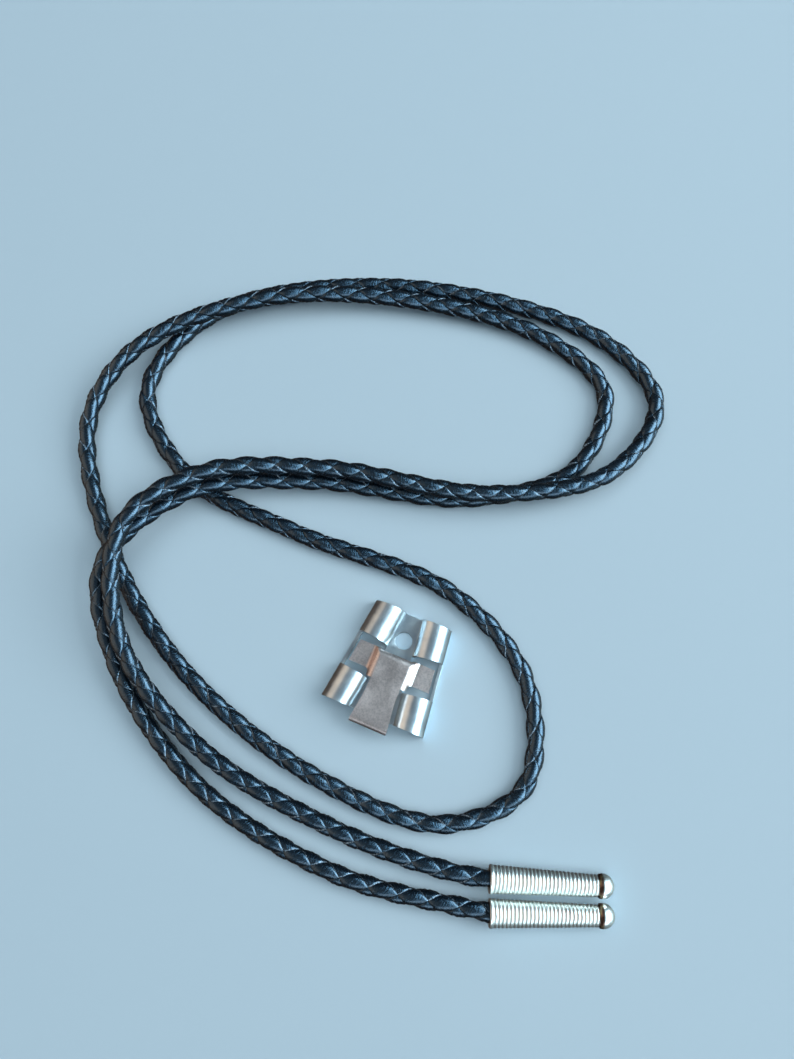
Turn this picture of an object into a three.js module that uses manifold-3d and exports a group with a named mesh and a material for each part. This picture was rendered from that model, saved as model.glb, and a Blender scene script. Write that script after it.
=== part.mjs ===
// Bolo tie laid loose on a table: a braided leather cord with a ribbed metal tip on each end, and its clasp
// lying inside the cord's lower loop. Millimetres, +Z up. The table is z = 0, and the origin is the middle of
// the clasp plate's underside.
import * as THREE from "three";
import { mergeVertices } from "three/addons/utils/BufferGeometryUtils.js";
import Module from "manifold-3d";

const wasm = await Module();
wasm.setup();

// ---------------------------------------------------------------- driving dimensions

const CORD_DIAMETER = 4;
const CORD_SIDES = 8;
const CORD_STEPS = 80;
// Corners of the eight-sided section, a little inside the round cord so that it stays above the table.
const CORD_FACET_RADIUS = 0.48 * CORD_DIAMETER;

// Points on the cord's centre line, from the bottom of tip_a's bore to the bottom of tip_b's.
const CORD_ROUTE = [
  [22, -43.3, 2.8],
  [12, -41.7, 2.6],
  [-12, -33.5, 2],
  [-40.5, -17, 3.9],
  [-57.5, 5.5, 8],
  [-57.5, 29, 11.2],
  [-42, 40.5, 10.5],
  [-15.5, 42.5, 7.9],
  [21.5, 37, 6.5],
  [48.5, 42.5, 4.7],
  [60, 59.5, 2.9],
  [47.5, 76, 2.2],
  [0.5, 89, 2],
  [-42, 82, 2],
  [-56.5, 63, 2],
  [-46.5, 42.5, 2],
  [-22, 29.5, 2],
  [13, 15.5, 2],
  [28.5, -3.5, 2],
  [27.5, -25, 2],
  [10.5, -32.5, 2],
  [-16.5, -23, 2],
  [-45, -1, 2],
  [-62.5, 26, 2.2],
  [-69, 55, 3.5],
  [-59, 71.5, 5.7],
  [-31.5, 83.5, 6.1],
  [-0.5, 85, 4.1],
  [33.5, 76.5, 2.5],
  [48.5, 62.5, 2],
  [41, 44, 2.1],
  [17.5, 37, 2.1],
  [-18, 40.5, 4.2],
  [-44.5, 37.5, 6.7],
  [-62.5, 21.5, 6.4],
  [-59, 0.5, 4.1],
  [-40.5, -25, 2.2],
  [-12, -42, 2.2],
  [12, -48, 2.6],
  [22, -49.8, 2.8],
];

const TIP_LENGTH = 25.4;
const TIP_RIM_RADIUS = 2.85;
const TIP_RIM_LENGTH = 0.8;
const TIP_RIM_ROUND = 0.15;
const TIP_BORE_RADIUS = 2.38;
const TIP_BORE_DEPTH = 3.2;
const TIP_RIB_COUNT = 27;
const TIP_RIB_DEPTH = 0.22;
const TIP_NECK_RADIUS = 2.15;
const TIP_COLLAR_RADIUS = 2;
const TIP_BALL_RADIUS = 2.45;
const TIP_SIDES = 24;
// Each tip lies on its rim and its ball: where its mouth is, and which way it points.
const TIPS = [
  { name: "tip_a", mouthX: 19.5, mouthY: -43, headingDegrees: -3.6 },
  { name: "tip_b", mouthX: 19.3, mouthY: -49.5, headingDegrees: -1.5 },
];

const CLASP_TURN_DEGREES = -22.9;
const SHEET = 0.7;
const PLATE_LENGTH = 23.1;
const CHANNEL_RADIUS = 3.4;
const CHANNEL_CENTRE_Z = 1.9;
const CHANNEL_OFFSET = 6.85;
const CHANNEL_SPLAY_DEGREES = 7.1;
const CHANNEL_ARC_STEPS = 32;
const WINDOW_FROM = -4.27;
const WINDOW_TO = 3.9;
const RAIL_HEIGHT = 1;
const HOLE_RADIUS = 1.9;
const HOLE_Y = 5.9;
const HOLE_SIDES = 36;

const TONGUE_UNDERSIDE = 4.5;
const TONGUE_TOP_Y = 0.63;
const LIP_Y = -14.2;
const LIP_RADIUS = 1;
const LIP_BOTTOM = 2.9;
const ARM_X = 4.25;
const ARM_BEND = 1.15;
const ARM_STEEPEST = 75;
const ARM_FROM = -2.6;
const ARM_TO = 2.4;
const WAIST_Y = -4.9;
const FLANGE_FROM = -4.2;
const LUG_TOP = 3.3;
const LUG_OUTER_X = 8.9;
const PLATE_TOP = 5.3;
const BEND_STEPS = 10;

// ---------------------------------------------------------------- helpers

const degrees = THREE.MathUtils.degToRad;

function manifoldOf(geometry) {
  const bare = geometry.clone();
  bare.deleteAttribute("normal");
  bare.deleteAttribute("uv");
  const merged = mergeVertices(bare, 1e-4);
  const mesh = new wasm.Mesh({
    numProp: 3,
    vertProperties: new Float32Array(merged.attributes.position.array),
    triVerts: new Uint32Array(merged.index.array),
  });
  return new wasm.Manifold(mesh);
}

function geometryOf(solid) {
  const mesh = solid.getMesh();
  const geometry = new THREE.BufferGeometry();
  geometry.setAttribute("position", new THREE.BufferAttribute(mesh.vertProperties, 3));
  geometry.setIndex(new THREE.BufferAttribute(mesh.triVerts, 1));
  geometry.computeVertexNormals();
  return geometry;
}

function outline(points) {
  return new THREE.Shape(points.map(([x, y]) => new THREE.Vector2(x, y)));
}

// An outline in X and Z, drawn out along Y.
function alongY(points, fromY, toY) {
  const geometry = new THREE.ExtrudeGeometry(outline(points), { depth: toY - fromY, bevelEnabled: false });
  return geometry.rotateX(Math.PI / 2).translate(0, toY, 0);
}

// An outline in Y and Z, drawn out along X.
function alongX(points, fromX, toX) {
  const geometry = new THREE.ExtrudeGeometry(outline(points), { depth: toX - fromX, bevelEnabled: false });
  const turn = new THREE.Matrix4().makeBasis(
    new THREE.Vector3(0, 1, 0),
    new THREE.Vector3(0, 0, 1),
    new THREE.Vector3(1, 0, 0),
  );
  return geometry.applyMatrix4(turn).translate(fromX, 0, 0);
}

// An outline in X and Y, drawn out along Z.
function alongZ(points, fromZ, toZ) {
  const geometry = new THREE.ExtrudeGeometry(outline(points), { depth: toZ - fromZ, bevelEnabled: false });
  return geometry.translate(0, 0, fromZ);
}

function box(fromX, toX, fromY, toY, fromZ, toZ) {
  const geometry = new THREE.BoxGeometry(toX - fromX, toY - fromY, toZ - fromZ);
  return geometry.translate((fromX + toX) / 2, (fromY + toY) / 2, (fromZ + toZ) / 2);
}

function arc(centreX, centreY, radius, fromDegrees, toDegrees, steps) {
  const points = [];
  for (let i = 0; i <= steps; i++) {
    const angle = degrees(fromDegrees + ((toDegrees - fromDegrees) * i) / steps);
    points.push([centreX + radius * Math.cos(angle), centreY + radius * Math.sin(angle)]);
  }
  return points;
}

// The outline of a bent sheet whose mid line runs through the points.
function sheetOutline(midLine, thickness) {
  const left = [];
  const right = [];
  midLine.forEach(([x, y], i) => {
    const [ax, ay] = midLine[Math.max(i - 1, 0)];
    const [bx, by] = midLine[Math.min(i + 1, midLine.length - 1)];
    const length = Math.hypot(bx - ax, by - ay);
    const nx = (-(by - ay) / length) * (thickness / 2);
    const ny = ((bx - ax) / length) * (thickness / 2);
    left.push([x + nx, y + ny]);
    right.push([x - nx, y - ny]);
  });
  return [...right, ...left.reverse()];
}

// ---------------------------------------------------------------- cord

function cordGeometry() {
  const route = CORD_ROUTE.map(([x, y, z]) => new THREE.Vector3(x, y, z));
  const path = new THREE.CatmullRomCurve3(route, false, "centripetal");
  const corners = [];
  for (let i = 0; i < CORD_SIDES; i++) {
    const angle = (2 * Math.PI * (i + 0.5)) / CORD_SIDES;
    corners.push([CORD_FACET_RADIUS * Math.cos(angle), CORD_FACET_RADIUS * Math.sin(angle)]);
  }
  return new THREE.ExtrudeGeometry(outline(corners), { steps: CORD_STEPS, extrudePath: path });
}

// ---------------------------------------------------------------- tips

// The tip's half section: radius, then distance from the mouth. It runs up the bore, over the rim, along the
// ribs and round the ball.
function tipProfile() {
  const ribsFrom = TIP_RIM_LENGTH;
  const ballCentre = TIP_LENGTH - TIP_BALL_RADIUS;
  const ribsTo = ballCentre - 0.95;
  const pitch = (ribsTo - ribsFrom) / TIP_RIB_COUNT;
  const profile = [
    [0, TIP_BORE_DEPTH],
    [TIP_BORE_RADIUS, TIP_BORE_DEPTH],
    [TIP_BORE_RADIUS, TIP_RIM_ROUND],
    [TIP_BORE_RADIUS + TIP_RIM_ROUND, 0],
    [TIP_RIM_RADIUS - TIP_RIM_ROUND, 0],
    [TIP_RIM_RADIUS, TIP_RIM_ROUND],
    [TIP_RIM_RADIUS, TIP_RIM_LENGTH - TIP_RIM_ROUND],
  ];
  for (let i = 0; i < TIP_RIB_COUNT; i++) {
    const taper = (i + 0.5) / TIP_RIB_COUNT;
    const crest = THREE.MathUtils.lerp(TIP_RIM_RADIUS - 0.05, TIP_NECK_RADIUS, taper);
    profile.push([crest - TIP_RIB_DEPTH, ribsFrom + pitch * i]);
    profile.push([crest, ribsFrom + pitch * (i + 0.35)]);
    profile.push([crest, ribsFrom + pitch * (i + 0.75)]);
  }
  profile.push([TIP_COLLAR_RADIUS - 0.15, ribsTo]);
  profile.push([TIP_COLLAR_RADIUS + 0.1, ribsTo + 0.35]);
  for (const [along, radius] of arc(ballCentre, 0, TIP_BALL_RADIUS, 105, 0, 9)) {
    profile.push([Math.max(radius, 0), along]);
  }
  return profile.map(([radius, along]) => new THREE.Vector2(radius, along));
}

function tipMesh({ name, mouthX, mouthY, headingDegrees }, material) {
  const geometry = new THREE.LatheGeometry(tipProfile(), TIP_SIDES);
  geometry.rotateZ(-Math.PI / 2);
  const mesh = new THREE.Mesh(geometry, material);
  const rimRest = TIP_RIM_LENGTH - TIP_RIM_ROUND;
  const ballRest = TIP_LENGTH - TIP_BALL_RADIUS;
  const tilt = Math.asin((TIP_RIM_RADIUS - TIP_BALL_RADIUS) / (ballRest - rimRest));
  mesh.name = name;
  mesh.position.set(mouthX, mouthY, TIP_RIM_RADIUS * Math.cos(tilt) + rimRest * Math.sin(tilt));
  mesh.rotation.set(0, tilt, degrees(headingDegrees), "ZYX");
  return mesh;
}

// ---------------------------------------------------------------- clasp plate

// Turns a piece drawn round the plate's middle line into the place of one channel. side is 1 or -1.
function atChannel(geometry, side) {
  return geometry.rotateZ(side * degrees(CHANNEL_SPLAY_DEGREES)).translate(side * CHANNEL_OFFSET, 0, 0);
}

function channel(side) {
  const inner = CHANNEL_RADIUS - SHEET;
  const section = [
    [CHANNEL_RADIUS, 0],
    ...arc(0, CHANNEL_CENTRE_Z, CHANNEL_RADIUS, 0, 180, CHANNEL_ARC_STEPS),
    [-CHANNEL_RADIUS, 0],
    [-inner, 0],
    ...arc(0, CHANNEL_CENTRE_Z, inner, 180, 0, CHANNEL_ARC_STEPS),
    [inner, 0],
  ];
  return manifoldOf(atChannel(alongY(section, -PLATE_LENGTH * 0.55, PLATE_LENGTH * 0.55), side));
}

// The window through one channel: it leaves a low rail along the outer side.
function channelWindow(side) {
  const inwards = -CHANNEL_RADIUS - 0.1;
  const railInside = CHANNEL_RADIUS - SHEET;
  const across = [side * inwards, side * railInside];
  const well = box(Math.min(...across), Math.max(...across), WINDOW_FROM, WINDOW_TO, -1, PLATE_TOP + 1);
  const reach = CHANNEL_RADIUS + 1;
  const aboveRail = box(
    side > 0 ? inwards : -reach,
    side > 0 ? reach : -inwards,
    WINDOW_FROM,
    WINDOW_TO,
    RAIL_HEIGHT,
    PLATE_TOP + 1,
  );
  return manifoldOf(atChannel(well, side)).add(manifoldOf(atChannel(aboveRail, side)));
}

function claspPlateWeb() {
  const half = PLATE_LENGTH / 2;
  const splay = Math.tan(degrees(CHANNEL_SPLAY_DEGREES));
  const edge = CHANNEL_OFFSET - CHANNEL_RADIUS + SHEET / 4;
  const topHalfWidth = edge - half * splay;
  const bottomHalfWidth = edge + half * splay;
  const sheet = [
    [-topHalfWidth, half],
    [-bottomHalfWidth, -half],
    [bottomHalfWidth, -half],
    [topHalfWidth, half],
  ];
  const hole = arc(0, HOLE_Y, HOLE_RADIUS, 0, 360, HOLE_SIDES).slice(0, -1);
  return manifoldOf(alongZ(sheet, 0, SHEET)).subtract(manifoldOf(alongZ(hole, -1, SHEET + 1)));
}

function claspPlateSolid() {
  const half = PLATE_LENGTH / 2;
  const wide = CHANNEL_OFFSET * 2;
  const trim = manifoldOf(box(-wide, wide, -half, half, -1, PLATE_TOP + 1));
  return channel(1)
    .add(channel(-1))
    .intersect(trim)
    .add(claspPlateWeb())
    .subtract(channelWindow(1))
    .subtract(channelWindow(-1));
}

// ---------------------------------------------------------------- clasp lever

// Half of the lever's bent section across the arms, from the middle out: the tongue, and the arm that dips to
// the lug's flat.
function leverHalfLine() {
  const tongueZ = TONGUE_UNDERSIDE + SHEET / 2;
  const lugZ = LUG_TOP - SHEET / 2;
  const across = ARM_BEND * Math.sin(degrees(ARM_STEEPEST));
  const rise = ARM_BEND * (1 - Math.cos(degrees(ARM_STEEPEST)));
  const straight = (tongueZ - lugZ - 2 * rise) / Math.tan(degrees(ARM_STEEPEST));
  const halfWay = across + straight / 2;
  return [
    [0, tongueZ],
    ...arc(ARM_X - halfWay, tongueZ - ARM_BEND, ARM_BEND, 90, 90 - ARM_STEEPEST, BEND_STEPS),
    ...arc(ARM_X + halfWay, lugZ + ARM_BEND, ARM_BEND, 270 - ARM_STEEPEST, 270, BEND_STEPS),
    [LUG_OUTER_X, lugZ],
  ];
}

// The lugs' outer ends follow the splay of the channels, and their arms stay square to the hinge.
function splayLugs(geometry) {
  const splay = Math.tan(degrees(CHANNEL_SPLAY_DEGREES));
  const position = geometry.attributes.position;
  for (let i = 0; i < position.count; i++) {
    const x = position.getX(i);
    const share = THREE.MathUtils.clamp((Math.abs(x) - ARM_X) / (LUG_OUTER_X - ARM_X), 0, 1);
    position.setX(i, x - Math.sign(x) * splay * position.getY(i) * share);
  }
  return geometry;
}

function leverArms() {
  const half = leverHalfLine();
  const mirrored = half
    .slice(1)
    .reverse()
    .map(([x, z]) => [-x, z]);
  const section = sheetOutline([...mirrored, ...half], SHEET);
  const across = splayLugs(alongY(section, FLANGE_FROM, ARM_TO));
  const corner = ARM_TO - TONGUE_TOP_Y;
  const tongueTop = TONGUE_UNDERSIDE + SHEET;
  const sideView = [
    [FLANGE_FROM - 0.5, TONGUE_UNDERSIDE + 0.05],
    [ARM_FROM - 0.6, TONGUE_UNDERSIDE - 0.6],
    [ARM_FROM, LUG_TOP],
    [ARM_FROM, LUG_TOP - SHEET - 1],
    [ARM_TO, LUG_TOP - SHEET - 1],
    ...arc(TONGUE_TOP_Y, tongueTop - corner, corner, 0, 90, BEND_STEPS),
    [TONGUE_TOP_Y, tongueTop + 1],
    [FLANGE_FROM - 0.5, tongueTop + 1],
  ];
  const reach = LUG_OUTER_X + 2;
  return manifoldOf(across).intersect(manifoldOf(alongX(sideView, -reach, reach)));
}

function leverTongue() {
  const lipStart = LIP_Y + LIP_RADIUS;
  const halfWidths = [
    [2.4, TONGUE_TOP_Y],
    [2.9, ARM_FROM],
    [3.4, WAIST_Y],
    [3.4, -6.6],
    [3.55, -8.4],
    [4.18, lipStart],
    [4.18, LIP_Y - 1],
  ];
  const sheet = [...halfWidths.map(([x, y]) => [-x, y]), ...[...halfWidths].reverse()];
  const midRadius = LIP_RADIUS - SHEET / 2;
  const tongueZ = TONGUE_UNDERSIDE + SHEET / 2;
  const lipLine = [
    [TONGUE_TOP_Y, tongueZ],
    ...arc(lipStart, tongueZ - midRadius, midRadius, 90, 180, BEND_STEPS),
    [LIP_Y + SHEET / 2, LIP_BOTTOM],
  ];
  const bent = manifoldOf(alongX(sheetOutline(lipLine, SHEET).reverse(), -5, 5));
  return manifoldOf(alongZ(sheet, -1, TONGUE_UNDERSIDE + SHEET + 1)).intersect(bent);
}

function claspLeverSolid() {
  return leverTongue().add(leverArms());
}

// ---------------------------------------------------------------- assembly

const leather = new THREE.MeshStandardMaterial({ color: 0x15181d, roughness: 0.45, metalness: 0 });
const silver = new THREE.MeshStandardMaterial({ color: 0xd9e6e4, roughness: 0.2, metalness: 1 });
const nickel = new THREE.MeshStandardMaterial({ color: 0xb9c4c9, roughness: 0.18, metalness: 1 });
const lever = new THREE.MeshStandardMaterial({ color: 0x9a8f8b, roughness: 0.35, metalness: 1 });

function named(name, geometry, material) {
  const mesh = new THREE.Mesh(geometry, material);
  mesh.name = name;
  return mesh;
}

const clasp = new THREE.Group();
clasp.rotation.z = degrees(CLASP_TURN_DEGREES);
clasp.add(named("clasp_plate", geometryOf(claspPlateSolid()), nickel));
clasp.add(named("clasp_lever", geometryOf(claspLeverSolid()), lever));

const boloTie = new THREE.Group();
boloTie.add(named("cord", cordGeometry(), leather));
for (const tip of TIPS) boloTie.add(tipMesh(tip, silver));
boloTie.add(clasp);

export default boloTie;
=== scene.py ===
"""Bolo tie: the finish of a braided leather cord, its two ribbed metal tips and its loose clasp."""

import math

import bmesh
import bpy
import numpy as np
from mathutils import Matrix, Vector


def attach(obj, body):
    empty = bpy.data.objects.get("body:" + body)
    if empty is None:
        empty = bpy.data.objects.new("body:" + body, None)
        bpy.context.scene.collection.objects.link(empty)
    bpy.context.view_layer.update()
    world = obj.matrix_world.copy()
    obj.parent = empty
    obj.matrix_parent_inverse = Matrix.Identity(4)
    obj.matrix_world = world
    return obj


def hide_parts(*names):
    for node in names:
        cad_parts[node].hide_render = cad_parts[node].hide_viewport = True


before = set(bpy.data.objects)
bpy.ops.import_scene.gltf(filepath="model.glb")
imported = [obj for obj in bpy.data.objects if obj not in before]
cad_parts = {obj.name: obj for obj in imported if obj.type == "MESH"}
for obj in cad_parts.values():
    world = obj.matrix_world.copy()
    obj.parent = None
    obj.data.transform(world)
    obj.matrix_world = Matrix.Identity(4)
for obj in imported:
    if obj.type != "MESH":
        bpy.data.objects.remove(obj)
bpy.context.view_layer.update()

bl_info = {
    "name": "Bolo Tie",
    "version": (1, 0, 0),
    "blender": (4, 5, 0),
    "location": "3D View > Sidebar > Bolo Tie",
    "description": "Builds a braided leather bolo tie with metal tips and a flip-up clasp",
    "category": "Add Mesh",
}

MM = 0.001

# Points on the cord's centre line in millimetres, from inside tip_a's mouth to inside tip_b's.
CORD_ROUTE = [
    (22, -43.3, 2.8),
    (12, -41.7, 2.6),
    (-12, -33.5, 2),
    (-40.5, -17, 3.9),
    (-57.5, 5.5, 8),
    (-57.5, 29, 11.2),
    (-42, 40.5, 10.5),
    (-15.5, 42.5, 7.9),
    (21.5, 37, 6.5),
    (48.5, 42.5, 4.7),
    (60, 59.5, 2.9),
    (47.5, 76, 2.2),
    (0.5, 89, 2),
    (-42, 82, 2),
    (-56.5, 63, 2),
    (-46.5, 42.5, 2),
    (-22, 29.5, 2),
    (13, 15.5, 2),
    (28.5, -3.5, 2),
    (27.5, -25, 2),
    (10.5, -32.5, 2),
    (-16.5, -23, 2),
    (-45, -1, 2),
    (-62.5, 26, 2.2),
    (-69, 55, 3.5),
    (-59, 71.5, 5.7),
    (-31.5, 83.5, 6.1),
    (-0.5, 85, 4.1),
    (33.5, 76.5, 2.5),
    (48.5, 62.5, 2),
    (41, 44, 2.1),
    (17.5, 37, 2.1),
    (-18, 40.5, 4.2),
    (-44.5, 37.5, 6.7),
    (-62.5, 21.5, 6.4),
    (-59, 0.5, 4.1),
    (-40.5, -25, 2.2),
    (-12, -42, 2.2),
    (12, -48, 2.6),
    (22, -49.8, 2.8),
]

# Each tip lies on its rim and its ball: where its mouth is, and which way it points.
TIPS = [
    {"name": "tip_a", "mouth_x": 19.5, "mouth_y": -43.0, "heading": -3.6},
    {"name": "tip_b", "mouth_x": 19.3, "mouth_y": -49.5, "heading": -1.5},
]

# Half of one lace's section: across in lace widths, and up in lace thicknesses.
LACE_SECTION = [
    (0.0, 0.5),
    (0.22, 0.44),
    (0.39, 0.3),
    (0.48, 0.14),
    (0.5, -0.1),
    (0.42, -0.5),
]


# ---------------------------------------------------------------- settings


class BoloCordSettings(bpy.types.PropertyGroup):
    """Sizes and colours of the braided cord"""

    diameter: bpy.props.FloatProperty(
        name="Diameter",
        description="Thickness of the braided cord",
        default=4 * MM,
        subtype="DISTANCE",
        unit="LENGTH",
    )
    lead: bpy.props.FloatProperty(
        name="Lace lead",
        description="Length of cord in which one lace goes once round",
        default=12.4 * MM,
        subtype="DISTANCE",
        unit="LENGTH",
    )
    lace_width: bpy.props.FloatProperty(
        name="Lace width",
        description="Width of each of the four flat laces",
        default=3.66 * MM,
        subtype="DISTANCE",
        unit="LENGTH",
    )
    lace_thickness: bpy.props.FloatProperty(
        name="Lace thickness",
        description="Thickness of each lace at its middle",
        default=0.6 * MM,
        subtype="DISTANCE",
        unit="LENGTH",
    )
    weave_height: bpy.props.FloatProperty(
        name="Weave height",
        description="How far a lace rises and dips as it goes over and under",
        default=0.43 * MM,
        subtype="DISTANCE",
        unit="LENGTH",
    )
    step: bpy.props.FloatProperty(
        name="Step",
        description="Length of cord between two sections of a lace",
        default=0.56 * MM,
        subtype="DISTANCE",
        unit="LENGTH",
    )
    twist: bpy.props.FloatProperty(
        name="Twist",
        description="How far the whole braid turns along one metre",
        default=math.radians(540),
        subtype="ANGLE",
        unit="ROTATION",
    )


class BoloTipSettings(bpy.types.PropertyGroup):
    """Sizes of the ribbed metal tips"""

    length: bpy.props.FloatProperty(
        name="Length",
        description="Length of a tip from its mouth to the end of its ball",
        default=25.4 * MM,
        subtype="DISTANCE",
        unit="LENGTH",
    )
    rim_radius: bpy.props.FloatProperty(
        name="Rim radius",
        description="Radius of the rolled rim at the mouth",
        default=2.85 * MM,
        subtype="DISTANCE",
        unit="LENGTH",
    )
    neck_radius: bpy.props.FloatProperty(
        name="Neck radius",
        description="Radius of the last rib, beside the ball",
        default=2.15 * MM,
        subtype="DISTANCE",
        unit="LENGTH",
    )
    ball_radius: bpy.props.FloatProperty(
        name="Ball radius",
        description="Radius of the ball end",
        default=2.45 * MM,
        subtype="DISTANCE",
        unit="LENGTH",
    )
    ribs: bpy.props.IntProperty(
        name="Ribs",
        description="Number of ribs along a tip",
        default=27,
    )
    sides: bpy.props.IntProperty(
        name="Sides",
        description="Sections in a full turn",
        default=64,
    )


class BoloStageSettings(bpy.types.PropertyGroup):
    """Camera, table and lights"""

    camera_height: bpy.props.FloatProperty(
        name="Camera height",
        description="Height of the camera above the table",
        default=196.8 * MM,
        subtype="DISTANCE",
        unit="LENGTH",
    )
    camera_tilt: bpy.props.FloatProperty(
        name="Camera tilt",
        description="How far the camera looks away from straight down",
        default=math.radians(13),
        subtype="ANGLE",
        unit="ROTATION",
    )
    lens: bpy.props.FloatProperty(
        name="Lens",
        description="Focal length for a sensor 36 mm along its long side",
        default=30.6,
        unit="CAMERA",
    )
    table_colour: bpy.props.StringProperty(
        name="Table colour",
        description="Hex colour of the pale table",
        default="A8C7D9",
    )
    backdrop_colour: bpy.props.StringProperty(
        name="Backdrop colour",
        description="Hex colour behind the table",
        default="B4CEDD",
    )


# ---------------------------------------------------------------- materials


def linear(hex_colour):
    """A colour written as sRGB hex, as linear RGBA."""
    channels = [int(hex_colour[i : i + 2], 16) / 255 for i in (0, 2, 4)]
    return [c / 12.92 if c <= 0.04045 else ((c + 0.055) / 1.055) ** 2.4 for c in channels] + [1.0]


def add_node(tree, kind, inputs=None, **settings):
    """Adds a node. inputs maps a socket's name or index to a value, or to the output socket to link from."""
    node = tree.nodes.new(kind)
    for name, value in settings.items():
        setattr(node, name, value)
    for name, value in (inputs or {}).items():
        socket = node.inputs[name]
        if isinstance(value, bpy.types.NodeSocket):
            tree.links.new(value, socket)
        else:
            socket.default_value = value
    return node


def new_material(name):
    """An empty node material and its Principled shader."""
    material = bpy.data.materials.new(name)
    material.use_nodes = True
    shader = material.node_tree.nodes["Principled BSDF"]
    return material, material.node_tree, shader


def ramp(tree, value, stops):
    """A colour ramp with stops of (position, hex colour)."""
    node = add_node(tree, "ShaderNodeValToRGB", {"Fac": value})
    while len(node.color_ramp.elements) < len(stops):
        node.color_ramp.elements.new(0.5)
    for element, (position, colour) in zip(node.color_ramp.elements, stops):
        element.position = position
        element.color = linear(colour)
    return node.outputs["Color"]


def drum_dyed_cowhide(lace_width):
    """Drum-dyed cowhide lace, rolled smooth: black with a blue shine and fine wrinkles across each lace.
    Only one edge of each lace is pale: the raw grey leather there, with a painted highlight standing in for
    the edge that faces the light."""
    material, tree, shader = new_material("drum_dyed_cowhide_lace")
    lace = add_node(tree, "ShaderNodeAttribute", attribute_name="lace_mm").outputs["Vector"]
    across = add_node(tree, "ShaderNodeSeparateXYZ", {"Vector": lace}).outputs["X"]
    # Wrinkles 0.3 mm apart along the lace and about 1 mm long across it.
    stretched = add_node(
        tree, "ShaderNodeMapping", {"Vector": lace, "Scale": (1.1, 3.4, 1.0)}
    ).outputs["Vector"]
    wrinkles = add_node(
        tree,
        "ShaderNodeTexNoise",
        {"Vector": stretched, "Scale": 1.0, "Detail": 3.0, "Roughness": 0.6, "Distortion": 0.5},
    ).outputs["Fac"]
    patches = add_node(
        tree, "ShaderNodeTexNoise", {"Vector": lace, "Scale": 0.35, "Detail": 2.0}
    ).outputs["Fac"]
    dye = ramp(tree, patches, [(0.3, "02060B"), (0.7, "06101A")])
    # One edge of each lace is left pale, a line up to 0.26 mm wide: raw grey edge and painted highlight
    # together, standing in for the lit edge while the other edge stays dark.
    line_starts = add_node(
        tree,
        "ShaderNodeMapRange",
        {
            "Value": patches,
            "From Min": 0.3,
            "From Max": 0.6,
            "To Min": lace_width / 2 / MM - 0.02,
            "To Max": lace_width / 2 / MM - 0.26,
        },
    ).outputs["Result"]
    past_line = add_node(
        tree, "ShaderNodeMath", {0: across, 1: line_starts}, operation="SUBTRACT"
    ).outputs["Value"]
    raw_edge_and_highlight_mask = add_node(
        tree,
        "ShaderNodeMapRange",
        {"Value": past_line, "From Max": 0.06},
        interpolation_type="SMOOTHSTEP",
    ).outputs["Result"]
    # Pale edge colour: raw leather and a painted highlight together.
    rubbed_edge_and_highlight = ramp(tree, wrinkles, [(0.4, "0C141C"), (0.66, "8CA2B2")])
    colour = add_node(tree, "ShaderNodeMix", {0: raw_edge_and_highlight_mask, 6: dye, 7: rubbed_edge_and_highlight}, data_type="RGBA").outputs[2]
    tree.links.new(colour, shader.inputs["Base Color"])
    gloss = add_node(
        tree, "ShaderNodeMapRange", {"Value": wrinkles, "To Min": 0.16, "To Max": 0.36}
    ).outputs["Result"]
    tree.links.new(gloss, shader.inputs["Roughness"])
    bump = add_node(
        tree, "ShaderNodeBump", {"Strength": 0.6, "Distance": 0.2 * MM, "Height": wrinkles}
    ).outputs["Normal"]
    tree.links.new(bump, shader.inputs["Normal"])
    shader.inputs["Specular IOR Level"].default_value = 1.0
    # The shine is tinted blue: painted reflection colour, standing in for the blue window it mirrors.
    shader.inputs["Specular Tint"].default_value = linear("AEDCFF")
    shader.inputs["Coat Weight"].default_value = 0.5
    shader.inputs["Coat Roughness"].default_value = 0.16
    return material


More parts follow.
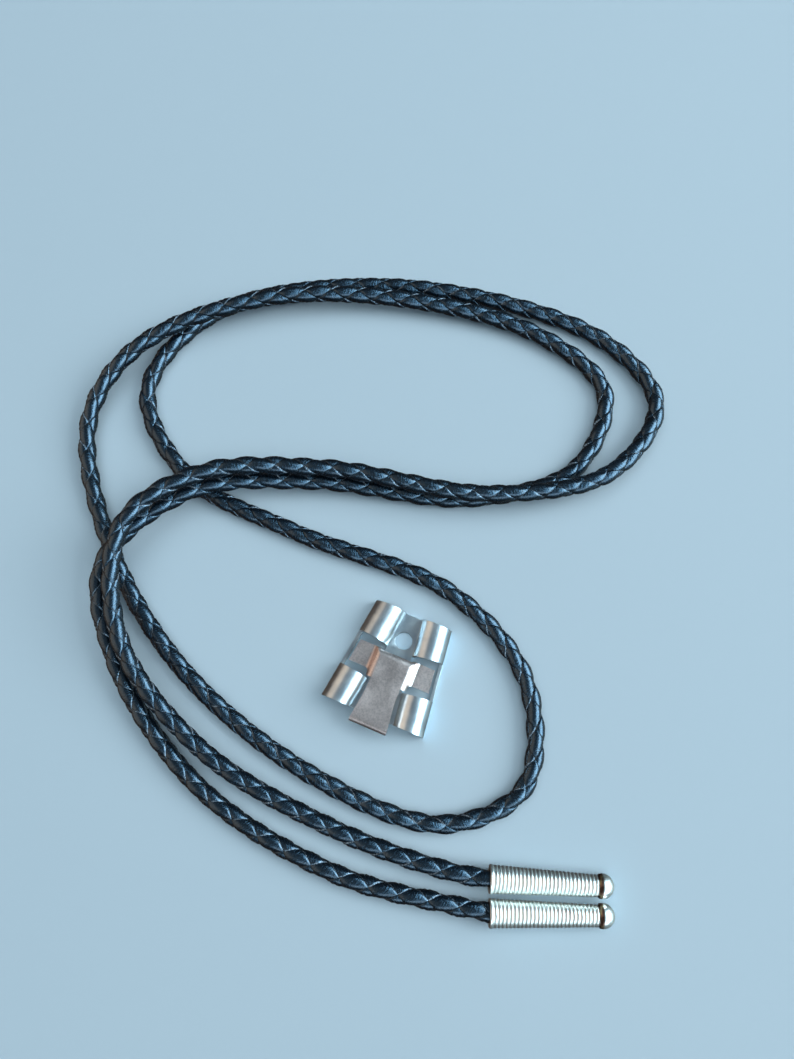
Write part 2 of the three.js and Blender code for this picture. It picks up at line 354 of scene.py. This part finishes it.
def silver_plate(name, to_tip):
    """Silver plate over brass, turned and barrel-polished: bright on the ribs, tarnished grey-green in the
    grooves, with brown residue in the collar by the ball."""
    material, tree, shader = new_material(name)
    place = add_node(tree, "ShaderNodeTexCoord").outputs["Object"]
    along = add_node(
        tree,
        "ShaderNodeMapping",
        {"Vector": place, "Location": to_tip.translation, "Rotation": to_tip.to_euler()},
    ).outputs["Vector"]
    distance = add_node(tree, "ShaderNodeSeparateXYZ", {"Vector": along}).outputs["X"]
    groove = add_node(tree, "ShaderNodeAttribute", attribute_name="groove").outputs["Fac"]
    film = add_node(
        tree, "ShaderNodeTexNoise", {"Vector": along, "Scale": 700.0, "Detail": 3.0}
    ).outputs["Fac"]
    darkened = add_node(
        tree, "ShaderNodeMath", {0: groove, 1: film, 2: 0.25}, operation="MULTIPLY_ADD", use_clamp=True
    ).outputs["Value"]
    plate = ramp(tree, darkened, [(0.4, "FFFFF8"), (0.7, "E6F2EC"), (1.0, "A0B6B0")])
    # The collar runs from 21.9 to 23.1 mm from the mouth.
    near_collar = add_node(
        tree,
        "ShaderNodeMapRange",
        {"Value": distance, "From Min": 21.7 * MM, "From Max": 22.2 * MM},
        interpolation_type="SMOOTHSTEP",
    ).outputs["Result"]
    past_collar = add_node(
        tree,
        "ShaderNodeMapRange",
        {"Value": distance, "From Min": 22.75 * MM, "From Max": 23.05 * MM, "To Min": 1.0, "To Max": 0.0},
        interpolation_type="SMOOTHSTEP",
    ).outputs["Result"]
    residue = add_node(
        tree, "ShaderNodeMath", {0: near_collar, 1: past_collar}, operation="MULTIPLY"
    ).outputs["Value"]
    blotches = add_node(
        tree, "ShaderNodeTexNoise", {"Vector": along, "Scale": 420.0, "Detail": 2.0}
    ).outputs["Fac"]
    brown = ramp(tree, blotches, [(0.38, "4A372E"), (0.5, "8C6C5C"), (0.62, "D0C49A")])
    colour = add_node(tree, "ShaderNodeMix", {"Factor": residue}, data_type="RGBA")
    tree.links.new(plate, colour.inputs[6])
    tree.links.new(brown, colour.inputs[7])
    tree.links.new(colour.outputs[2], shader.inputs["Base Color"])
    rough = add_node(
        tree, "ShaderNodeMapRange", {"Value": darkened, "To Min": 0.3, "To Max": 0.5}
    ).outputs["Result"]
    tree.links.new(rough, shader.inputs["Roughness"])
    shader.inputs["Metallic"].default_value = 1.0
    return material


def nickel_plate(name, bright, dull, roughness, grain):
    """Nickel-plated steel sheet, stamped and bent: bright, with a fine grain and a few cloudy patches."""
    material, tree, shader = new_material(name)
    place = add_node(tree, "ShaderNodeTexCoord").outputs["Object"]
    # Grain 0.4 mm across, and patches 4 mm across.
    fine = add_node(
        tree, "ShaderNodeTexNoise", {"Vector": place, "Scale": 2600.0, "Detail": 2.0}
    ).outputs["Fac"]
    cloud = add_node(
        tree, "ShaderNodeTexNoise", {"Vector": place, "Scale": 260.0, "Detail": 4.0}
    ).outputs["Fac"]
    mottle = add_node(
        tree, "ShaderNodeMix", {0: grain, 2: cloud, 3: fine}, data_type="FLOAT"
    ).outputs[0]
    tint = ramp(tree, mottle, [(0.36, dull), (0.64, bright)])
    tree.links.new(tint, shader.inputs["Base Color"])
    rough = add_node(
        tree,
        "ShaderNodeMapRange",
        {
            "Value": cloud,
            "From Min": 0.3,
            "From Max": 0.7,
            "To Min": roughness * 0.85,
            "To Max": roughness * 1.15,
        },
    ).outputs["Result"]
    tree.links.new(rough, shader.inputs["Roughness"])
    bump = add_node(
        tree, "ShaderNodeBump", {"Strength": grain, "Distance": 0.006 * MM, "Height": fine}
    ).outputs["Normal"]
    tree.links.new(bump, shader.inputs["Normal"])
    shader.inputs["Metallic"].default_value = 1.0
    return material


# ---------------------------------------------------------------- cord


def centripetal_curve(points, samples):
    """A centripetal Catmull-Rom curve through the points, with this many samples for each span."""
    points = np.asarray(points, float)
    share = np.linspace(0, 1, samples, endpoint=False)[:, None]
    line = []
    for i in range(len(points) - 1):
        here, after = points[i], points[i + 1]
        before = points[i - 1] if i > 0 else 2 * here - after
        beyond = points[i + 2] if i + 2 < len(points) else 2 * after - here
        first = np.linalg.norm(here - before) ** 0.5
        second = np.linalg.norm(after - here) ** 0.5
        third = np.linalg.norm(beyond - after) ** 0.5
        leave = (here - before) / first - (after - before) / (first + second) + (after - here) / second
        arrive = (after - here) / second - (beyond - here) / (second + third) + (beyond - after) / third
        leave *= second
        arrive *= second
        square = -3 * here + 3 * after - 2 * leave - arrive
        cube = 2 * here - 2 * after + leave + arrive
        line.append(here + leave * share + square * share**2 + cube * share**3)
    line.append(points[-1:])
    return np.vstack(line)


def even_line(points, step):
    """The same line with evenly spaced points, and its length."""
    lengths = np.r_[0, np.cumsum(np.linalg.norm(np.diff(points, axis=0), axis=1))]
    count = int(round(lengths[-1] / step)) + 1
    at = np.linspace(0, lengths[-1], count)
    return np.stack([np.interp(at, lengths, points[:, k]) for k in range(3)], 1), lengths[-1]


def untwisted_frames(line):
    """Tangents, sideways and upward directions that turn as little as they can along the line."""
    tangents = np.gradient(line, axis=0)
    tangents /= np.linalg.norm(tangents, axis=1)[:, None]
    side = np.cross(tangents[0], (0, 0, 1.0))
    sides = []
    for tangent in tangents:
        side = side - tangent * (side @ tangent)
        side /= np.linalg.norm(side)
        sides.append(side)
    sides = np.array(sides)
    return tangents, sides, np.cross(sides, tangents)


class CordLine:
    """The cord's centre line, which can be asked for a point beside it."""

    def __init__(self, route, twist):
        samples_per_span = 60
        dense = centripetal_curve(np.array(route) * MM, samples_per_span)
        self.step = 0.25 * MM
        self.points, self.length = even_line(dense, self.step)
        self.tangents, self.sides, self.ups = untwisted_frames(self.points)
        self.twist = twist

    def beside(self, along, angle, radius):
        """Points at these distances along the line, turned by angle and out by radius. All are arrays."""
        share = np.clip(along / self.length, 0, 1) * (len(self.points) - 1)
        low = np.minimum(share.astype(int), len(self.points) - 2)
        part = (share - low)[..., None]
        mixed = [v[low] * (1 - part) + v[low + 1] * part for v in (self.points, self.sides, self.ups)]
        turned = angle + self.twist * along
        out = mixed[1] * np.cos(turned)[..., None] + mixed[2] * np.sin(turned)[..., None]
        return mixed[0] + out * radius[..., None]


def tube_faces(rings, around, first):
    """Quads that join rings of vertices, and a cap at each end."""
    faces = []
    for i in range(rings - 1):
        here = first + i * around
        after = here + around
        for j in range(around):
            k = (j + 1) % around
            faces.append((here + j, here + k, after + k, after + j))
    faces.append(tuple(first + j for j in reversed(range(around))))
    faces.append(tuple(first + (rings - 1) * around + j for j in range(around)))
    return faces


def braid_mesh(name, line, cord):
    """Four flat laces in a round braid, two each way, over one and under one, round a thin core.
    The attribute lace_mm says where each vertex lies across and along its lace, in millimetres."""
    stand_out = 0.05 * MM
    core_gap = 0.15 * MM
    core_step = 2 * MM
    pattern_shift = 40.0
    mirrored = [(-across, up) for across, up in reversed(LACE_SECTION[1:])]
    section = np.array(mirrored + LACE_SECTION)
    across = section[:, 0] * cord.lace_width
    height = section[:, 1] * cord.lace_thickness
    middle = cord.diameter / 2 + stand_out - cord.weave_height - height.max()
    slope = math.atan2(2 * math.pi * middle, cord.lead)
    rings = int(round(line.length / cord.step)) + 1
    at = np.linspace(0, line.length, rings)[:, None]
    # The two edges of a lace don't cross the next lace at the same place.
    lead_of_edge = math.pi * section[:, 0] * math.cos(2 * slope)
    points, faces, lace_mm = [], [], []
    for lace in range(4):
        way = 1 if lace < 2 else -1
        turn = way * 2 * math.pi * at / cord.lead + math.pi * (lace % 2)
        along = at - way * across * math.sin(slope)
        angle = turn + across * math.cos(slope) / middle
        radius = middle + way * cord.weave_height * np.cos(2 * turn + lead_of_edge) + height
        first = sum(len(p) for p in points)
        points.append(line.beside(along, angle, radius).reshape(-1, 3))
        faces += tube_faces(rings, len(section), first)
        # Positive towards the leading edge, which is painted pale: raw edge and painted highlight.
        spread = np.broadcast_to(-way * across / MM, along.shape)
        run = np.broadcast_to(at / MM / math.cos(slope), along.shape)
        own_pattern = np.full(along.shape, lace * pattern_shift)
        lace_mm.append(np.stack([spread, run, own_pattern], -1).reshape(-1, 3))
    core_around = 8
    core_rings = int(round(line.length / core_step)) + 1
    core_shape = (core_rings, core_around)
    core_at = np.broadcast_to(np.linspace(0, line.length, core_rings)[:, None], core_shape)
    core_turn = np.broadcast_to(np.arange(core_around) * 2 * math.pi / core_around, core_shape)
    core_radius = np.full(core_shape, middle - core_gap)
    core = line.beside(core_at, core_turn, core_radius).reshape(-1, 3)
    faces += tube_faces(core_rings, core_around, sum(len(p) for p in points))
    points.append(core)
    lace_mm.append(core * (0, 1 / MM, 1 / MM))
    mesh = bpy.data.meshes.new(name)
    mesh.from_pydata(np.vstack(points).tolist(), [], faces)
    mesh.attributes.new("lace_mm", "FLOAT_VECTOR", "POINT").data.foreach_set(
        "vector", np.vstack(lace_mm).astype(np.float32).ravel()
    )
    mesh.polygons.foreach_set("use_smooth", np.ones(len(mesh.polygons), bool))
    mesh.update()
    return mesh


class BOLO_OT_cord(bpy.types.Operator):
    """Braid the leather cord along its route from tip to tip"""

    bl_idname = "bolo.cord"
    bl_label = "Braided cord"

    def execute(self, context):
        cord = context.scene.bolo_cord
        line = CordLine(CORD_ROUTE, cord.twist)
        mesh = braid_mesh("braided_cord", line, cord)
        mesh.materials.append(drum_dyed_cowhide(cord.lace_width))
        braid = bpy.data.objects.new("braided_cord", mesh)
        context.scene.collection.objects.link(braid)
        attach(braid, "tie")
        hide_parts("cord")
        return {"FINISHED"}


# ---------------------------------------------------------------- tips


def tip_profile(tip):
    """The tip's half section from its bore over the rim, the ribs and the ball.
    Each point holds the distance along the tip, the radius, and how deep in a groove it lies from 0 to 1."""
    bore = 2.38 * MM
    bore_depth = 3.2 * MM
    round_off = 0.15 * MM
    rim_end = 0.8 * MM
    rib_depth = 0.22 * MM
    ball_steps = 21
    ball_turn = 105
    ball_centre = tip.length - tip.ball_radius
    ribs_end = ball_centre - 0.95 * MM
    pitch = (ribs_end - rim_end) / tip.ribs
    points = [
        (bore_depth, 0.0, 0.6),
        (bore_depth, bore, 0.8),
        (round_off, bore, 0.8),
        (0.0, bore + round_off, 0.5),
        (0.0, tip.rim_radius - round_off, 0.4),
        (round_off / 3, tip.rim_radius - round_off / 3, 0.3),
        (round_off, tip.rim_radius, 0.2),
        (rim_end - round_off, tip.rim_radius, 0.0),
    ]
    # One rib: the share of its pitch, and the share of its depth.
    rib_shape = ((0.0, 0.0), (0.12, 0.45), (0.3, 0.88), (0.5, 1.0), (0.7, 0.95), (0.88, 0.55))
    for rib in range(tip.ribs):
        share = (rib + 0.5) / tip.ribs
        crest = (tip.rim_radius - 0.05 * MM) * (1 - share) + tip.neck_radius * share
        for part, rise in rib_shape:
            depth = 1 - rise
            points.append((rim_end + pitch * (rib + part), crest - rib_depth * depth, depth))
    points.append((ribs_end, 1.85 * MM, 0.9))
    points.append((ribs_end + 0.18 * MM, 2.05 * MM, 0.4))
    points.append((ribs_end + 0.35 * MM, 2.1 * MM, 0.3))
    for i in range(ball_steps + 1):
        angle = math.radians(ball_turn * (1 - i / ball_steps))
        radius = tip.ball_radius * math.sin(angle)
        points.append((ball_centre + tip.ball_radius * math.cos(angle), radius, 0.0))
    return points


def tip_place(tip, mouth_x, mouth_y, heading):
    """Where a tip lies: it rests on its rim's edge and on its ball."""
    rim_rest = 0.65 * MM
    ball_rest = tip.length - tip.ball_radius
    tilt = math.asin((tip.rim_radius - tip.ball_radius) / (ball_rest - rim_rest))
    height = tip.rim_radius * math.cos(tilt) + rim_rest * math.sin(tilt)
    move = Matrix.Translation((mouth_x * MM, mouth_y * MM, height))
    return move @ Matrix.Rotation(math.radians(heading), 4, "Z") @ Matrix.Rotation(tilt, 4, "Y")


def spun_tip(name, tip, place):
    """The tip's half section spun round its length."""
    shape = bmesh.new()
    layer = shape.verts.layers.float.new("groove")
    corners = []
    for along, radius, groove in tip_profile(tip):
        corner = shape.verts.new((along, 0, max(radius, 0)))
        corner[layer] = groove
        corners.append(corner)
    edges = [shape.edges.new(pair) for pair in zip(corners, corners[1:])]
    bmesh.ops.spin(
        shape,
        geom=corners + edges,
        cent=(0, 0, 0),
        axis=(1, 0, 0),
        angle=math.tau,
        steps=tip.sides,
        use_merge=True,
    )
    bmesh.ops.remove_doubles(shape, verts=shape.verts, dist=0.002 * MM)
    bmesh.ops.recalc_face_normals(shape, faces=shape.faces)
    bmesh.ops.transform(shape, matrix=place, verts=shape.verts)
    mesh = bpy.data.meshes.new(name)
    shape.to_mesh(mesh)
    shape.free()
    mesh.shade_smooth()
    return mesh


class BOLO_OT_tips(bpy.types.Operator):
    """Turn the two ribbed tips and plate them"""

    bl_idname = "bolo.tips"
    bl_label = "Ribbed tips"

    def execute(self, context):
        tip = context.scene.bolo_tip
        for at in TIPS:
            place = tip_place(tip, at["mouth_x"], at["mouth_y"], at["heading"])
            mesh = spun_tip(at["name"] + "_plated", tip, place)
            mesh.materials.append(silver_plate(at["name"] + "_silver_plate", place.inverted()))
            piece = bpy.data.objects.new(at["name"] + "_plated", mesh)
            context.scene.collection.objects.link(piece)
            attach(piece, "tie")
            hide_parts(at["name"])
        return {"FINISHED"}


# ---------------------------------------------------------------- clasp


def softened_copy(node, name, edge_round):
    """A merged copy of a sheet-metal node with its stamped edges slightly rounded."""
    shape = bmesh.new()
    shape.from_mesh(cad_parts[node].data)
    bmesh.ops.remove_doubles(shape, verts=shape.verts, dist=0.002 * MM)
    bmesh.ops.dissolve_limit(
        shape,
        angle_limit=math.radians(0.5),
        verts=shape.verts,
        edges=shape.edges,
        delimit=set(),
    )
    sharp = [e for e in shape.edges if e.is_manifold and e.calc_face_angle(0) > math.radians(35)]
    bmesh.ops.bevel(
        shape,
        geom=sharp,
        offset=edge_round,
        offset_type="OFFSET",
        segments=2,
        profile=0.5,
        affect="EDGES",
        clamp_overlap=True,
        material=-1,
    )
    bmesh.ops.triangulate(shape, faces=[f for f in shape.faces if len(f.verts) > 4])
    mesh = bpy.data.meshes.new(name)
    shape.to_mesh(mesh)
    shape.free()
    mesh.shade_smooth()
    mesh.set_sharp_from_angle(angle=math.radians(28))
    return mesh


class BOLO_OT_clasp(bpy.types.Operator):
    """Finish the clasp's plate and its lever"""

    bl_idname = "bolo.clasp"
    bl_label = "Clasp"

    def execute(self, context):
        # Node, body, slot, edge rounding; then the plating's bright and dull colours, roughness and grain.
        parts = (
            ("clasp_plate", "tie", "clasp_metal", 0.14 * MM, ("F0F6F6", "CCD6DC", 0.33, 0.05)),
            # The lever's pink tint is painted reflection: the same nickel as the plate, tinted to stand in
            # for the warm room mirrored in its tongue and lugs.
            ("clasp_lever", "lever", "lever_metal", 0.22 * MM, ("F6E2DA", "D8C4BC", 0.38, 0.7)),
        )
        for node, body, slot, edge_round, finish in parts:
            mesh = softened_copy(node, node + "_nickel", edge_round)
            mesh.materials.append(nickel_plate("nickel_plate_" + node, *finish))
            piece = bpy.data.objects.new(node + "_nickel", mesh)
            context.scene.collection.objects.link(piece)
            # The wide faces keep their own normals, so a reflection runs straight along a channel.
            flat_faces = piece.modifiers.new("straight_reflections", "WEIGHTED_NORMAL")
            flat_faces.mode = "FACE_AREA"
            flat_faces.weight = 50
            flat_faces.keep_sharp = True
            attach(piece, body)
            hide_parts(node)
        return {"FINISHED"}


# ---------------------------------------------------------------- stage


class BOLO_OT_camera(bpy.types.Operator):
    """Hang the camera over the tie, a little towards its lower end"""

    bl_idname = "bolo.camera"
    bl_label = "Camera"

    def execute(self, context):
        stage = context.scene.bolo_stage
        lens = bpy.data.cameras.new("studio_camera")
        lens.sensor_width = 36
        lens.lens = stage.lens
        lens.clip_start = 0.01
        camera = bpy.data.objects.new("studio_camera", lens)
        camera.location = (0.8 * MM, -15 * MM, stage.camera_height)
        camera.rotation_euler = (stage.camera_tilt, 0, 0)
        context.scene.collection.objects.link(camera)
        context.scene.camera = camera
        return {"FINISHED"}


def studio_lamp(name, place, size, radiance, hex_colour, lights_surfaces, is_reflected):
    """A soft rectangular lamp that looks at the tie. Its radiance doesn't depend on its size."""
    lamp = bpy.data.lights.new(name, "AREA")
    lamp.shape = "RECTANGLE"
    lamp.size, lamp.size_y = size
    lamp.energy = radiance * math.pi * size[0] * size[1]
    lamp.color = linear(hex_colour)[:3]
    holder = bpy.data.objects.new(name, lamp)
    holder.location = place
    holder.rotation_euler = (-Vector(place)).to_track_quat("-Z", "Y").to_euler()
    holder.visible_camera = False
    holder.visible_diffuse = lights_surfaces
    holder.visible_glossy = is_reflected
    bpy.context.scene.collection.objects.link(holder)


def painted_board(stage):
    """Matt painted board. Far from the lamps it takes on the backdrop's own glow."""
    material, tree, shader = new_material("painted_board")
    shader.inputs["Base Color"].default_value = linear(stage.table_colour)
    shader.inputs["Roughness"].default_value = 0.9
    shader.inputs["Specular IOR Level"].default_value = 0.0
    place = add_node(tree, "ShaderNodeTexCoord").outputs["Object"]
    distance = add_node(tree, "ShaderNodeVectorMath", {0: place}, operation="LENGTH").outputs["Value"]
    glow = add_node(
        tree,
        "ShaderNodeMapRange",
        {"Value": distance, "From Min": 0.5, "From Max": 2.4},
        interpolation_type="SMOOTHSTEP",
    ).outputs["Result"]
    tree.links.new(glow, shader.inputs["Emission Strength"])
    shader.inputs["Emission Color"].default_value = linear(stage.backdrop_colour)
    return material


def lit_backdrop(stage):
    """A plain backdrop that is evenly lit, so it only glows."""
    material, tree, shader = new_material("pale_backdrop")
    shader.inputs["Base Color"].default_value = (0, 0, 0, 1)
    shader.inputs["Specular IOR Level"].default_value = 0
    shader.inputs["Emission Color"].default_value = linear(stage.backdrop_colour)
    shader.inputs["Emission Strength"].default_value = 1
    return material


def stage_object(name, shape, material):
    """A stage object made from a bmesh, which is freed."""
    mesh = bpy.data.meshes.new(name)
    shape.to_mesh(mesh)
    shape.free()
    mesh.materials.append(material)
    piece = bpy.data.objects.new(name, mesh)
    bpy.context.scene.collection.objects.link(piece)
    return piece


def dim_room():
    """A dim room, blue-grey overhead. Below the horizon it is dark on the left and paler by the window."""
    world = bpy.data.worlds.new("studio")
    world.use_nodes = True
    sky = world.node_tree
    direction = add_node(sky, "ShaderNodeTexCoord").outputs["Generated"]
    heading = add_node(sky, "ShaderNodeSeparateXYZ", {"Vector": direction})
    overhead = ramp(sky, heading.outputs["Z"], [(0.0, "34393C"), (0.5, "48525A"), (1.0, "6E7D88")])
    across_room = add_node(
        sky, "ShaderNodeMapRange", {"Value": heading.outputs["X"], "From Min": -1.0}
    ).outputs["Result"]
    below_stops = [(0.0, "5A4C42"), (0.5, "34363A"), (0.8, "5F6E72"), (1.0, "A9BCC0")]
    below = ramp(sky, across_room, below_stops)
    horizon = add_node(
        sky,
        "ShaderNodeMapRange",
        {"Value": heading.outputs["Z"], "From Min": -0.05, "From Max": 0.08},
        interpolation_type="SMOOTHSTEP",
    ).outputs["Result"]
    room = add_node(
        sky, "ShaderNodeMix", {0: horizon, 6: below, 7: overhead}, data_type="RGBA"
    ).outputs[2]
    sky.links.new(room, sky.nodes["Background"].inputs["Color"])
    return world


class BOLO_OT_stage(bpy.types.Operator):
    """Lay the pale table and hang the soft studio lights"""

    bl_idname = "bolo.stage"
    bl_label = "Table and lights"

    def execute(self, context):
        stage = context.scene.bolo_stage
        room_radius = 6
        disc = bmesh.new()
        bmesh.ops.create_circle(disc, cap_ends=True, segments=64, radius=room_radius)
        table = stage_object("table", disc, painted_board(stage))
        # The metal and the leather mirror a dim room, and not the pale table.
        table.visible_glossy = False
        dome = bmesh.new()
        bmesh.ops.create_uvsphere(dome, u_segments=64, v_segments=32, radius=room_radius)
        backdrop = stage_object("backdrop", dome, lit_backdrop(stage))
        # Only seen behind the table: it neither lights the tie nor is mirrored in it.
        backdrop.visible_diffuse = False
        backdrop.visible_glossy = False
        backdrop.visible_shadow = False
        context.scene.world = dim_room()
        context.scene.view_settings.view_transform = "Standard"
        # Two lamps light the surfaces, and three are only mirrored in the metal and the leather.
        studio_lamp("ceiling_light", (0.1, 0.1, 1.6), (2.2, 2.2), 1.5, "FFF8F4", True, False)
        studio_lamp("key_light", (1.2, 0.1, 0.9), (1.0, 1.0), 5.2, "FFF8F4", True, False)
        studio_lamp("window", (1.0, 0.05, 0.7), (1.6, 0.9), 9.5, "C6E8FA", False, True)
        studio_lamp("low_strip", (0.3, -1.0, 0.6), (1.4, 0.6), 3.0, "D2EAFA", False, True)
        studio_lamp("warm_wall", (-1.0, 0.0, 0.5), (1.6, 1.4), 0.85, "F4DCC4", False, True)
        return {"FINISHED"}


class BOLO_PT_panel(bpy.types.Panel):
    """Lists the tie's pieces in the sidebar"""

    bl_idname = "BOLO_PT_panel"
    bl_label = "Bolo Tie"
    bl_space_type = "VIEW_3D"
    bl_region_type = "UI"
    bl_category = "Bolo Tie"

    def draw(self, context):
        for operator in OPERATORS:
            self.layout.operator(operator.bl_idname)
        for settings in (context.scene.bolo_cord, context.scene.bolo_tip, context.scene.bolo_stage):
            for name in settings.__annotations__:
                self.layout.prop(settings, name)


OPERATORS = (BOLO_OT_camera, BOLO_OT_cord, BOLO_OT_tips, BOLO_OT_clasp, BOLO_OT_stage)
SETTINGS = {"bolo_cord": BoloCordSettings, "bolo_tip": BoloTipSettings, "bolo_stage": BoloStageSettings}


def register():
    """Registers the settings, the operators and the panel."""
    for name, settings in SETTINGS.items():
        bpy.utils.register_class(settings)
        setattr(bpy.types.Scene, name, bpy.props.PointerProperty(type=settings))
    for operator in OPERATORS:
        bpy.utils.register_class(operator)
    bpy.utils.register_class(BOLO_PT_panel)


def unregister():
    """Takes them off again, in the opposite order."""
    bpy.utils.unregister_class(BOLO_PT_panel)
    for operator in reversed(OPERATORS):
        bpy.utils.unregister_class(operator)
    for name, settings in reversed(SETTINGS.items()):
        delattr(bpy.types.Scene, name)
        bpy.utils.unregister_class(settings)


def main():
    """Builds the tie piece by piece."""
    register()
    bpy.ops.bolo.camera()
    bpy.ops.bolo.cord()
    bpy.ops.bolo.tips()
    bpy.ops.bolo.clasp()
    bpy.ops.bolo.stage()


if __name__ == "__main__":
    main()
